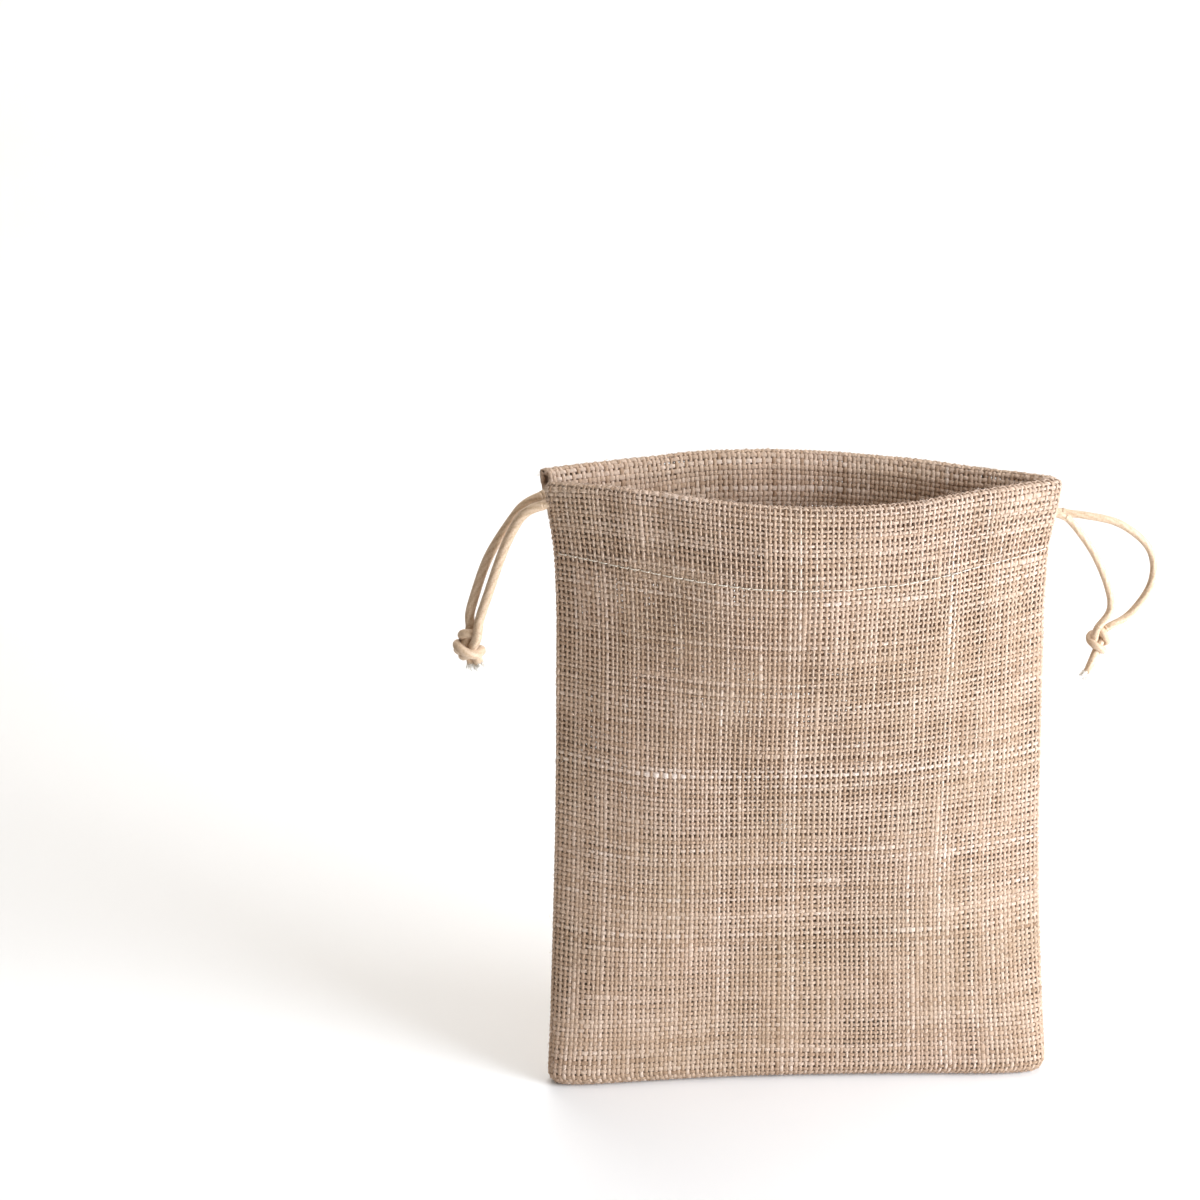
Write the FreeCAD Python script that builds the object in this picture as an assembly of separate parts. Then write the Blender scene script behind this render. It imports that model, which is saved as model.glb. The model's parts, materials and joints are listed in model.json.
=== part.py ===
"""Drawstring gift pouch in jute hessian: two sewn panels, their threads and two cotton drawcords.

Units are millimetres. The origin is the middle of the base on the surface that the pouch stands
on, +Z is up, +X runs along the width to the right and the front panel faces -Y.
"""

import FreeCAD, Part

import math
import os

from FreeCAD import Vector

# ---- Driving dimensions -------------------------------------------------------------------
BASE_WIDTH = 200.0        # flat width of the pouch, seen where it stands
HEIGHT = 250.0            # rim above the surface, with the mouth open
MOUTH_WIDTH = 188.0       # corner to corner across the open mouth
MOUTH_FRONT = 28.0        # how far the front rim bows out at its middle
MOUTH_BACK = 27.0         # the same for the back rim
BASE_DEPTH = 24.0         # front to back just above the base
CASING = 29.0             # depth of the hem tunnel that holds the cords
CLOTH = 1.2               # thickness of one layer of hessian
TUNNEL = 4.0              # room inside the casing, front to back
CORD = 2.8                # drawcord diameter
SEAM_ALLOWANCE = 10.0     # cloth turned inside at each seam
SEAM_GAP = 0.2            # half the space between the two panels at a seam
SLIT_GAP = 0.8            # half the space between the two casings at their ends

# ---- Sizes that follow from them ----------------------------------------------------------
HEM = HEIGHT - CASING                       # height of the hem stitching
CASING_DEPTH = TUNNEL + 2 * CLOTH           # the folded casing, outside to inside
HALF_MOUTH = MOUTH_WIDTH / 2
HALF_BASE = BASE_WIDTH / 2
LEFT_CORD_Z = HEIGHT - 6.5                  # the two cords run one above the other
RIGHT_CORD_Z = LEFT_CORD_Z - 2.2 * CORD
EXIT_REACH = 7.0                            # cords bend down this far outside the mouth's end
TURN_REACH = 2.6                            # and turn back this far outside its other end
CORD_LANE = SLIT_GAP + CASING_DEPTH / 2     # cord centre from the middle plane at a casing end
TAIL_START = 0.5 * CORD                     # cord end to flex point, so the tail can swing freely
PROUD = 0.5                                 # the casing's face stands this far off the panel
THREAD = 0.5                                # how far a stitch stands off the cloth
CLEAR = 0.1                                 # air between a stitch and the cloth it lies on

# ---- Shape of the standing pouch ----------------------------------------------------------
WAIST = 92.0              # half width that the sides pull in towards
HEM_BELLY = (8.0, 2.5)    # how much further front and back bow out at the hem stitching
BELLY_REACH = 50.0        # height over which that belly fades
CORNER_ROUND = 8.0        # rounding of the base corners, seen from the front
EDGE_ROUND = 5.0          # rounding where the faces turn under the base
FRONT, BACK = -1, 1
LEFT, RIGHT = -1, 1
FACE_HEIGHTS = [CLOTH, 3.0, 6.0, 10.0, 18.0, 30.0, 50.0, 75.0, 105.0, 135.0, 165.0, 195.0, HEM]


def blend(low, high, share):
    return low + (high - low) * share


def rounding(z, radius):
    """How far an edge rounded to this radius is drawn in at height z above the base."""
    if z >= radius:
        return 0.0
    return radius - math.sqrt(radius * radius - (radius - z) ** 2)


def station(z):
    """Half width, front bow, back bow and boxiness of the pouch at height z. A boxy section has
    a straight front and round corners, like the base, and a plain one is a lens, like the mouth.
    """
    rise = z / HEIGHT
    half_width = WAIST + (HALF_BASE - WAIST) * (1 - rise) ** 2.2
    half_width += (HALF_MOUTH - WAIST) * rise ** 6 - rounding(z, CORNER_ROUND)
    swell = rise * rise * (3 - 2 * rise)
    belly = math.exp(-((z - HEM) / BELLY_REACH) ** 2) - math.exp(-(CASING / BELLY_REACH) ** 2)
    depths = []
    for mouth, extra in zip((MOUTH_FRONT, MOUTH_BACK), HEM_BELLY):
        depth = BASE_DEPTH / 2 + (mouth - BASE_DEPTH / 2) * swell
        depths.append(depth + 2 * extra * max(0.0, belly) - rounding(z, EDGE_ROUND))
    return half_width, depths[0], depths[1], (1 - rise) ** 3


def bow(u, boxiness):
    """Share of the full bow at u, from -1 at the left end to 1 at the right end."""
    return max(0.0, 1 - abs(u) ** (2 + 4 * boxiness)) ** (1 - 0.5 * boxiness)


def bowed_edge(z, side, half_width, depth, end_depth, boxiness, steps=9):
    """A smooth edge from the left end to the right end of a panel, at height z."""
    points = []
    for k in range(-steps, steps + 1):
        u = math.sin(math.pi / 2 * k / steps)
        y = side * (end_depth + (depth - end_depth) * bow(u, boxiness))
        points.append(Vector(half_width * u, y, z))
    curve = Part.BSplineCurve()
    curve.interpolate(points)
    return curve.toShape()


def end_points(edge):
    return edge.Vertexes[0].Point, edge.Vertexes[-1].Point


# ---- Panels -------------------------------------------------------------------------------
def closed_wire(edges):
    """The edges joined end to end by straight lines into one closed wire."""
    joined = []
    for edge, following in zip(edges, edges[1:] + edges[:1]):
        joined.append(edge)
        end, start = end_points(edge)[1], end_points(following)[0]
        if end.distanceToPoint(start) > 1e-6:
            joined.append(Part.makeLine(end, start))
    return Part.Wire(joined)


def backwards(edge):
    """The same edge, running from its right end to its left end."""
    curve = edge.Curve.copy()
    curve.reverse()
    return curve.toShape()


def face_section(z, side):
    """One panel cut across at height z, with its allowances turned in at both sides."""
    half_width, front, back, boxiness = station(z)
    depth = front if side == FRONT else back
    turned = SEAM_GAP + CLOTH
    face = bowed_edge(z, side, half_width, depth, SEAM_GAP, boxiness)
    lining = bowed_edge(z, side, half_width - 2 * CLOTH, depth - CLOTH, turned, boxiness)
    raw_edge = half_width - SEAM_ALLOWANCE
    near, far = side * SEAM_GAP, side * turned
    right_edge = Part.makeLine(Vector(raw_edge, near, z), Vector(raw_edge, far, z))
    left_edge = Part.makeLine(Vector(-raw_edge, far, z), Vector(-raw_edge, near, z))
    return closed_wire([face, right_edge, backwards(lining), left_edge])


def casing_section(z, side, outer, inner, outer_end, inner_end, overrun=0.0):
    """A strip of casing cut across at height z. outer and inner are depths below the casing's
    face at its middle, and outer_end and inner_end are distances from the middle plane."""
    half_width, front, back, boxiness = station(z)
    half_width += PROUD + overrun
    depth = (front if side == FRONT else back) + PROUD
    face = bowed_edge(z, side, half_width, depth - outer, outer_end, boxiness)
    lining = bowed_edge(z, side, half_width, depth - inner, inner_end, boxiness)
    return closed_wire([face, backwards(lining)])


def base_plate(side):
    """The flat strip of cloth that the pouch stands on, from the panel's face to the seam."""
    half_width, front, back, boxiness = station(CLOTH)
    depth = front if side == FRONT else back
    edge = bowed_edge(CLOTH, side, half_width, depth, SEAM_GAP, boxiness)
    return Part.Face(closed_wire([edge])).extrude(Vector(0, 0, -CLOTH))


def base_flange(side):
    """The allowance turned up inside along the base seam."""
    length = 2 * (HALF_BASE - SEAM_ALLOWANCE)
    flange = Part.makeBox(length, CLOTH, SEAM_ALLOWANCE - CLOTH)
    near = SEAM_GAP if side == BACK else -SEAM_GAP - CLOTH
    flange.translate(Vector(-length / 2, near, CLOTH))
    return flange


def panel(side):
    """One cloth panel: its face, turned-in allowances and the casing folded to the inside."""
    shell = Part.makeLoft([face_section(z, side) for z in FACE_HEIGHTS], True, False)
    foot = (0, CLOTH * 2, SEAM_GAP + PROUD, SEAM_GAP)
    folded = (0, CASING_DEPTH, SLIT_GAP + CASING_DEPTH, SLIT_GAP)
    rise = [(HEM - 1.0, foot), (HEM + 0.6, foot), (HEM + 5.0, folded), (HEIGHT - 12.0, folded),
            (HEIGHT, folded)]
    casing = Part.makeLoft([casing_section(z, side, *row) for z, row in rise], True, True)
    overrun = 2.0
    drift = 0.5 * overrun      # the casing slopes in this much over the tunnel's overrun
    hollow = (CLOTH, CASING_DEPTH - CLOTH, SLIT_GAP + CASING_DEPTH - CLOTH - drift,
              SLIT_GAP + CLOTH - drift, overrun)
    heights = [HEM + 5.0 + CLOTH, HEIGHT - 12.0, HEIGHT - CLOTH]
    tunnel = Part.makeLoft([casing_section(z, side, *hollow) for z in heights], True, True)
    return shell.fuse([casing.cut(tunnel), base_plate(side), base_flange(side)])


# ---- Threads ------------------------------------------------------------------------------
def hem_thread(side):
    """The line of stitching along the foot of a casing, lying on the panel's outer face."""
    seat = SEAM_GAP + PROUD + CLEAR
    row = (-CLEAR - THREAD, -CLEAR, seat + THREAD, seat)
    rows = [casing_section(z, side, *row) for z in (HEM - 0.6, HEM + 0.2)]
    return Part.makeLoft(rows, True, True)


def side_strip(end, inset_outer, inset_inner, bottom, half_thickness):
    """A thin upright strip that follows one side of the pouch, between two insets from it."""
    top = HEM - 3.0
    heights = [bottom] + [z for z in FACE_HEIGHTS if bottom < z < top] + [top]
    outer = [Vector(end * (station(z)[0] - inset_outer), -half_thickness, z) for z in heights]
    inner = [Vector(end * (station(z)[0] - inset_inner), -half_thickness, z) for z in heights]
    outline = outer + inner[::-1] + [outer[0]]
    return Part.Face(Part.makePolygon(outline)).extrude(Vector(0, 2 * half_thickness, 0))


def base_strip(half_length, bottom, top, half_thickness):
    corner = Vector(-half_length, -half_thickness, bottom)
    return Part.makeBox(2 * half_length, 2 * half_thickness, top - bottom, corner)


def seam_threads():
    """Lockstitch between the panels' allowances and overlock stitches round their raw edges."""
    seam_half = SEAM_GAP - 0.05
    overlock_half = SEAM_GAP + CLOTH
    reach = SEAM_ALLOWANCE + 2 * CLEAR
    nodes = {}
    for name, end in (("left", LEFT), ("right", RIGHT)):
        nodes[name + "_side_seam_thread"] = side_strip(end, 2.0, 3.0, 14.0, seam_half)
        nodes[name + "_side_overlock"] = side_strip(end, reach, reach + 1, 14.0, overlock_half)
    nodes["bottom_seam_thread"] = base_strip(HALF_BASE - 12, 2.0, 3.0, seam_half)
    nodes["bottom_overlock"] = base_strip(HALF_BASE - 14, reach, reach + 1, overlock_half)
    return nodes


# ---- Drawcords ----------------------------------------------------------------------------
def rope(points):
    """A cord of round section through the points."""
    curve = Part.BSplineCurve()
    curve.interpolate(points)
    spine = Part.Wire([curve.toShape()])
    direction = curve.tangent(curve.FirstParameter)[0]
    section = Part.Wire([Part.makeCircle(CORD / 2, points[0], direction)])
    return spine.makePipeShell([section], True, False)


def drawcord(end, z):
    """The loop of one cord inside both casings: it leaves at `end` and turns at the other."""
    half_width, front, back, _ = station(z)
    half_width += PROUD
    exit_x = HALF_MOUTH + EXIT_REACH - TAIL_START
    loop = []
    for side, bowing in ((FRONT, front), (BACK, back)):
        middle = bowing + PROUD - CASING_DEPTH / 2
        lane = [Vector(end * exit_x, side * 0.9 * CORD_LANE, z)]
        for k in range(6, -7, -1):
            u = math.sin(math.pi / 2 * k / 6)
            depth = CORD_LANE + (middle - CORD_LANE) * bow(u, 0)
            lane.append(Vector(end * half_width * u, side * depth, z))
        for out, lane_share in ((0.6, 0.82), (1.0, 0.45)):
            lane.append(Vector(-end * (half_width + out * TURN_REACH), side * lane_share * CORD_LANE, z))
        loop.append(lane)
    turn = Vector(-end * (half_width + 1.12 * TURN_REACH), 0, z)
    return rope(loop[0] + [turn] + loop[1][::-1])


def tail_strand(end, z, side, path):
    """One hanging strand. path lists steps outward and down from the flex point."""
    start = Vector(end * (HALF_MOUTH + EXIT_REACH), side * 0.9 * CORD_LANE, z)
    points = []
    for k, (out, down) in enumerate(path):
        share = k / (len(path) - 1)
        y = side * blend(0.9 * CORD_LANE, 0.55 * CORD, share)
        points.append(Vector(start.x + end * out, y, z - down))
    return rope(points)


def knot(centre, width, height):
    """The double overhand knot, as a plain rounded barrel."""
    ball = Part.makeSphere(1.0)
    stretch = FreeCAD.Matrix()
    stretch.scale(width / 2, 0.42 * width, height / 2)
    ball = ball.transformGeometry(stretch)
    ball.translate(centre)
    return ball


def tail(end, z, strands, centre_step, knot_size, stub_step):
    """The hanging part of one cord: two strands, the knot that joins them and the cut ends."""
    flex = Vector(end * (HALF_MOUTH + EXIT_REACH), 0, z)
    centre = flex + Vector(end * centre_step[0], 0, -centre_step[1])
    body = knot(centre, *knot_size)
    tip = flex + Vector(end * stub_step[0], 0, -stub_step[1])
    pieces = [tail_strand(end, z, side, path) for side, path in zip((FRONT, BACK), strands)]
    cores = []
    for side in (FRONT, BACK):
        spread = Vector(end * 0.4 * CORD * side, side * 0.62 * CORD, 0)
        pieces.append(rope([centre + spread, (centre + tip) / 2 + spread, tip + spread]))
        along = (tip - centre).normalize()
        start = tip + spread + along * CLEAR
        cores.append(Part.makeCylinder(0.42 * CORD, 3.0, start, along))
    cut = [solid for piece in pieces for solid in piece.cut(body).Solids]
    # A strand that runs into the knot leaves no sliver on its far side.
    cut = [solid for solid in cut if solid.Volume > CORD ** 3]
    return Part.makeCompound(cut), body, Part.makeCompound(cores)


def cords():
    """Both cords. Every path, knot and stub is given as (outward, down) from the flex point."""
    nodes = {}
    start = TAIL_START
    left_outer = [(start, 1.6), (6.3, 5.6), (17.7, 21.9), (24.6, 39.5), (26.0, 51.0)]
    left_inner = [(start, 1.6), (5.3, 6.0), (11.3, 18.7), (17.7, 36.1), (22.4, 52.5)]
    right_inner = [(start, 6.4), (8.0, 17.2), (14.2, 30.8), (16.1, 39.0), (14.5, 49.0)]
    right_outer = [(start, 3.7), (18.7, 7.8), (30.3, 18.0), (31.7, 31.2), (25.1, 43.8), (16.0, 50.5)]
    layout = (
        ("left", LEFT, LEFT_CORD_Z, (left_inner, left_outer), (25.5, 57.0), (14.0, 13.0), (27.5, 68.0)),
        ("right", RIGHT, RIGHT_CORD_Z, (right_inner, right_outer), (13.0, 54.0), (10.5, 11.5), (6.5, 67.0)),
    )
    for name, end, z, strands, centre, knot_size, stub in layout:
        nodes[name + "_drawcord"] = drawcord(end, z)
        hanging, body, cores = tail(end, z, strands, centre, knot_size, stub)
        nodes[name + "_cord_tail"] = hanging
        nodes[name + "_cord_knot"] = body
        nodes[name + "_cord_core"] = cores
    return nodes


def build():
    nodes = {
        "front_panel": panel(FRONT),
        "back_panel": panel(BACK),
        "front_hem_thread": hem_thread(FRONT),
        "back_hem_thread": hem_thread(BACK),
    }
    nodes.update(seam_threads())
    nodes.update(cords())
    return nodes


os.makedirs("parts", exist_ok=True)
for node, shape in build().items():
    shape.exportStep("parts/" + node + ".step")
    box = shape.BoundBox
    print(node, len(shape.Solids), "solids, valid", shape.isValid(), "volume", round(shape.Volume, 1),
          "box", [round(v, 1) for v in (box.XMin, box.YMin, box.ZMin, box.XMax, box.YMax, box.ZMax)])
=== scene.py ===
"""Looks of the drawstring pouch: woven yarn by yarn, stitched, and strung with two knotted cords.

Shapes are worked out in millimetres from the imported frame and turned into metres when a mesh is
made. Each panel of cloth is a smooth surface that can be asked for the point at any place on the
cloth, and the yarns, stitches and fibres are laid on it. They and the cords' runs in the casings
have two shapes: the pouch standing open, and the pouch drawn shut by its cords.
"""
import json
import math

import bpy
import numpy as np
from mathutils import Matrix, Quaternion, Vector

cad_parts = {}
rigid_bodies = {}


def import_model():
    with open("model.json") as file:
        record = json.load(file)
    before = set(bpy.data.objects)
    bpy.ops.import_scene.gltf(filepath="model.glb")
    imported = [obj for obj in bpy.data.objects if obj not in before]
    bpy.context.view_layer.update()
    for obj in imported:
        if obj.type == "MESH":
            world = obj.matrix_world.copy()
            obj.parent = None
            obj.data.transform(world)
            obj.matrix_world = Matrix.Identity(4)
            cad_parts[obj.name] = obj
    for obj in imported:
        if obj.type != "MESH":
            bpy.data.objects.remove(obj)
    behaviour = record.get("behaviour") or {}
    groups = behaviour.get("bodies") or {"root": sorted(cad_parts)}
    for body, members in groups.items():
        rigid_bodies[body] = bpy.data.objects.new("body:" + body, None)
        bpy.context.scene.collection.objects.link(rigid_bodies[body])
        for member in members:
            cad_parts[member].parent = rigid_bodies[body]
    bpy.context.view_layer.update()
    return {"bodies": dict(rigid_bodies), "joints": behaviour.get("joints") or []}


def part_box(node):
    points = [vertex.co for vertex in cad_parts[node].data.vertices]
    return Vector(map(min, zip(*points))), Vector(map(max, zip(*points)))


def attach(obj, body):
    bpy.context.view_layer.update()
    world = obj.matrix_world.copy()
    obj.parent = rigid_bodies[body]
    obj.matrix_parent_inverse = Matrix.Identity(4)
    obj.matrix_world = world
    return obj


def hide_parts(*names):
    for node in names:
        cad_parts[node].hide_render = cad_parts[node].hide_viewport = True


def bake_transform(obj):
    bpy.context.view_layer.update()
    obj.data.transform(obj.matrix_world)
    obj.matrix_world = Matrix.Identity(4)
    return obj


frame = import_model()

MM = 0.001
FRONT, BACK = -1, 1
LEFT, RIGHT = -1, 1
OPEN, DRAWN = 0, 1


# ---- Sizes, read from the frame ----
def corners(node):
    """Lowest and highest corner of a CAD node, in millimetres."""
    low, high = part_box(node)
    return np.array(low) / MM, np.array(high) / MM


def joint(name):
    return next(row for row in frame["joints"] if row["name"] == name)


FRONT_LOW, FRONT_HIGH = corners("front_panel")
_, BACK_HIGH = corners("back_panel")
HEM_LOW, HEM_HIGH = corners("front_hem_thread")
CORD_LOW, CORD_HIGH = corners("left_drawcord")

HALF_BASE = FRONT_HIGH[0]
RIM = FRONT_HIGH[2]
HEM = (HEM_LOW[2] + HEM_HIGH[2]) / 2
CASING = RIM - HEM
FRONT_BOW = -FRONT_LOW[1]
BACK_BOW = BACK_HIGH[1]
CORD = CORD_HIGH[2] - CORD_LOW[2]
FLEX = {
    LEFT: np.array(joint("left_tail_swing")["pos_m"]) / MM,
    RIGHT: np.array(joint("right_tail_swing")["pos_m"]) / MM,
}
HALF_MOUTH = FLEX[RIGHT][0] - 2.5 * CORD  # the cords flex this far outside the mouth
PULL = joint("left_cord_pull")["range_m"][1] / MM

# ---- Sizes of the cloth itself ----
HALF_FLAT = 100.0           # half the flat width of a panel, seam to seam
WAIST = 0.918 * HALF_BASE   # half width that the sides pull in towards
LEAN = -0.6                 # the upper part stands this far to the left
NECK = 0.8                  # and is drawn in a little more just under the casing
BASE_HALF = 11.5            # half the depth of the base
BASE_ROUND = 5.0            # rounding where a face turns under
CORNER_ROUND = 7.0          # rounding of the base corners
FOOT_FORWARD = (8.5, 6.0)   # how far forward the left and right ends of the base stand
WARP_PITCH = 1.87           # distance between the yarns that run up the pouch
WEFT_PITCH = 2.05           # distance between the yarns that run across
YARN_FLOOR = 0.95           # height of the cloth's middle surface over the ground
ALLOWANCE = 10.0            # cloth turned inside at a seam
TURN = 0.7                  # radius of the fold at a seam
SEAM_FOLD = TURN * math.pi  # cloth that the fold takes up
NEAR = 0.75                 # a turned-in allowance's distance from the middle plane
END = NEAR + 2 * TURN       # and the face's own distance, where the fold starts

UNDER = BASE_HALF - BASE_ROUND - NEAR - TURN
ARC = BASE_ROUND * math.pi / 2
FOLD_ROUND = 1.7            # half the casing's thickness at the rim
FACE_TOP = UNDER + ARC + (RIM - FOLD_ROUND - YARN_FLOOR - BASE_ROUND)
FOLD_ARC = FOLD_ROUND * math.pi
CLOTH_TOP = FACE_TOP + FOLD_ARC + (CASING - FOLD_ROUND + 3.0)
CORD_ROOM = 5.0             # between the casing's layers where the cords run
TIGHT_ROOM = 1.7            # and where they are stitched together
INNER_SHORT = 3.5           # the inner layer stops this far short of a casing's end
CORD_LEVEL = (FLEX[LEFT][2] + FLEX[RIGHT][2]) / 2

CASING_SPREAD = {FRONT: (2.2, 4.5), BACK: (9.5, 2.4)}  # at the left and right ends
RIM_PLACES = (-1.0, -0.57, 0.0, 0.6, 1.0)  # across the rim, as shares of half of it
RIM_LIFTS = {FRONT: (1.7, 2.8, 0.0, 0.0, 0.2), BACK: (2.4, 4.4, 3.6, -0.4, -1.0)}
PLEATS = 8                  # folds across the drawn mouth
PLEAT_DEPTH = 5.0
GATHERED_FROM = 0.30 * RIM  # the drawn mouth's folds start at this height

GRID_STEP = 1.6             # of the grid that holds a panel's surface
COLUMNS = 141
LEVELS = np.arange(0.0, CLOTH_TOP + GRID_STEP, GRID_STEP)


def smooth(x):
    x = np.clip(x, 0.0, 1.0)
    return x * x * (3 - 2 * x)


def mix(low, high, share):
    return low + (high - low) * share


def hill(values, centre, reach):
    """1 at the centre, fading to nothing a few reaches away."""
    return np.exp(-((values - centre) / reach) ** 2)


def unit(vectors):
    return vectors / np.maximum(np.linalg.norm(vectors, axis=-1, keepdims=True), 1e-9)


def soft_noise(rng, count, knots):
    """Smooth random values between about -1 and 1, one per step along a line."""
    knots = max(2, knots)
    values = rng.normal(0, 0.6, knots)
    at = np.linspace(0, knots - 1, count)
    whole = np.clip(at.astype(int), 0, knots - 2)
    return mix(values[whole], values[whole + 1], smooth(at - whole))


def soft_rows(rng, rows, count, knots):
    return np.array([soft_noise(rng, count, knots) for _ in range(rows)])


def soft_field(rng, rows, columns, row_knots, column_knots):
    """The same over a grid."""
    across = soft_rows(rng, row_knots, columns, column_knots)
    at = np.linspace(0, row_knots - 1, rows)
    whole = np.clip(at.astype(int), 0, row_knots - 2)
    return mix(across[whole], across[whole + 1], smooth(at - whole)[:, None])


# ---- The cloth's surface ----
def face_level(z):
    """Place up the cloth of height z on a face."""
    return UNDER + ARC + (z - YARN_FLOOR - BASE_ROUND)


def inner_level(z):
    """Place up the cloth of height z on the casing's inner layer."""
    return FACE_TOP + FOLD_ARC + (RIM - FOLD_ROUND - z)


def profile(v):
    """For places up the cloth: height, share of the base's half depth, and how far folded in."""
    turn = np.clip((v - UNDER) / BASE_ROUND, 0, math.pi / 2)
    z = BASE_ROUND * (1 - np.cos(turn)) + np.maximum(0, v - UNDER - ARC)
    out = np.minimum(v, UNDER) + BASE_ROUND * np.sin(turn) + NEAR + TURN
    beyond = np.maximum(0, v - FACE_TOP)
    fold = np.clip(beyond / FOLD_ROUND, 0, math.pi)
    z = np.minimum(z, RIM - FOLD_ROUND - YARN_FLOOR) + YARN_FLOOR
    z = z + FOLD_ROUND * np.sin(fold) - np.maximum(0, beyond - FOLD_ARC)
    return z, out / BASE_HALF, (1 - np.cos(fold)) / 2


def half_width(z):
    """Half width at a height: the sides pull in above the base and flare out at the mouth."""
    rise = z / RIM
    width = WAIST + (HALF_BASE - WAIST) * (1 - rise) ** 2.2 + (HALF_MOUTH - WAIST) * rise ** 6
    width = width - NECK * hill(z, HEM - 15, 30.0)
    sunk = np.clip(CORNER_ROUND - z, 0, CORNER_ROUND)
    return width - (CORNER_ROUND - np.sqrt(CORNER_ROUND ** 2 - sunk ** 2))


def bow_depth(z, side):
    """How far a panel bows out at its middle."""
    most, rim_share, belly = (FRONT_BOW, 0.84, 2.4) if side == FRONT else (BACK_BOW, 1.02, 0.6)
    level = mix(BASE_HALF, most * rim_share, smooth(z / RIM))
    return level + belly * hill(z, HEM, 45.0)


def lens(u, z):
    """Share of the bow across the pouch: boxy at the base and a plain lens at the mouth."""
    boxy = (1 - z / RIM) ** 3
    return np.maximum(0, 1 - np.abs(u) ** (2 + 4 * boxy)) ** (1 - 0.5 * boxy)


def casing_room(z):
    """Distance between the casing's two layers."""
    below = (RIM - z) / CASING
    top = mix(2 * FOLD_ROUND, CORD_ROOM, smooth((below - 0.05) / 0.13))
    bottom = mix(TIGHT_ROOM, CORD_ROOM, smooth((0.95 - below) / 0.45))
    return np.minimum(top, bottom)


def end_spread(z, side, along):
    """How far the casing's ends stand apart above the side seams."""
    spread = mix(*CASING_SPREAD[side], (along + 1) / 2)
    return spread * smooth((z - HEM + 2) / (0.9 * CASING))


def rim_lift(side, u):
    """How much higher the cloth stands at the rim than level, along the rim."""
    return np.polyval(np.polyfit(RIM_PLACES, RIM_LIFTS[side], 4), u)


def foot_shift(x, z):
    """The ends of the base stand forward of the middle plane, the left one most."""
    most = np.where(x < 0, FOOT_FORWARD[0], FOOT_FORWARD[1])
    return -most * np.abs(x / HALF_BASE) ** 2.5 * (1 - smooth(z / (0.4 * RIM)))


def relief(side, z):
    """Soft dents in the cloth, and puckers where the casing is stitched and strung."""
    rng = np.random.default_rng(11 + side)
    strung = hill(z, RIM, 30.0)[:, None]
    stitched = hill(z, HEM, 5.0)[:, None]

    def uneven(height, row_knots, column_knots):
        return height * soft_field(rng, len(z), COLUMNS, row_knots, column_knots)

    dents = uneven(1.5, 7, 6) + uneven(0.5, 14, 10)
    puckers = uneven(0.75, 5, 19) * strung
    pinch = uneven(0.35, 60, 34) * stitched
    across = np.linspace(-1, 1, COLUMNS)[None, :]
    calm = smooth((z - 4) / 40)[:, None] * (1 - across ** 8)
    bumps = (dents + puckers) * calm + pinch - 0.45 * stitched * calm
    same_height = np.abs(z[:, None] - z[None, :]).argmin(axis=1)
    inner = (LEVELS > FACE_TOP)[:, None]
    return np.where(inner, bumps[same_height], bumps)


def even_spacing(points):
    """The same rows of points, spaced evenly along each row."""
    steps = np.linalg.norm(np.diff(points, axis=1), axis=2)
    length = np.concatenate([np.zeros((len(points), 1)), np.cumsum(steps, axis=1)], axis=1)
    spaced = np.empty((len(points), COLUMNS, 3))
    for row in range(len(points)):
        targets = np.linspace(0, length[row, -1], COLUMNS)
        for axis in range(3):
            spaced[row, :, axis] = np.interp(targets, length[row], points[row, :, axis])
    return spaced


def open_surface(side):
    """Grid of points of one panel as the pouch stands open: rows go up the face and fold over."""
    z, out, folded = profile(LEVELS[:, None])
    u = np.sin(np.linspace(-math.pi / 2, math.pi / 2, 4 * COLUMNS))[None, :]
    depth = bow_depth(z, side) * np.minimum(1, out)
    end = np.minimum(END + end_spread(z, side, u), depth)
    most = 1.2 if side == FRONT else mix(3.2, 0.6, (u + 1) / 2)
    flare = most * smooth((z - HEM) / CASING) * u ** 9
    x = half_width(z) * u + flare + LEAN * smooth(z / 80) - INNER_SHORT * folded * u ** 9
    y = side * (end + (depth - end) * lens(u, z) - casing_room(z) * folded)
    points = even_spacing(np.stack([x, y, np.broadcast_to(z, x.shape)], axis=2))
    points[:, :, 1] += side * relief(side, z[:, 0])
    rng = np.random.default_rng(23 + side)
    waves = soft_field(rng, len(LEVELS), COLUMNS, 4, 7) * 0.5
    across = np.linspace(-1, 1, COLUMNS)[None, :]
    lift = smooth((z - 30) / 60) * (waves - 1.2 * (1 - across ** 2))
    points[:, :, 2] += lift + smooth((z - HEM + 25) / 50) * rim_lift(side, across)
    points[:, :, 1] += foot_shift(points[:, :, 0], z)
    return points


def cord_lane(u):
    """Distance of a taut cord from the middle plane in the drawn mouth."""
    return 3.2 + 10.0 * np.maximum(0, 1 - np.abs(u) ** 2.2) ** 0.8


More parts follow.
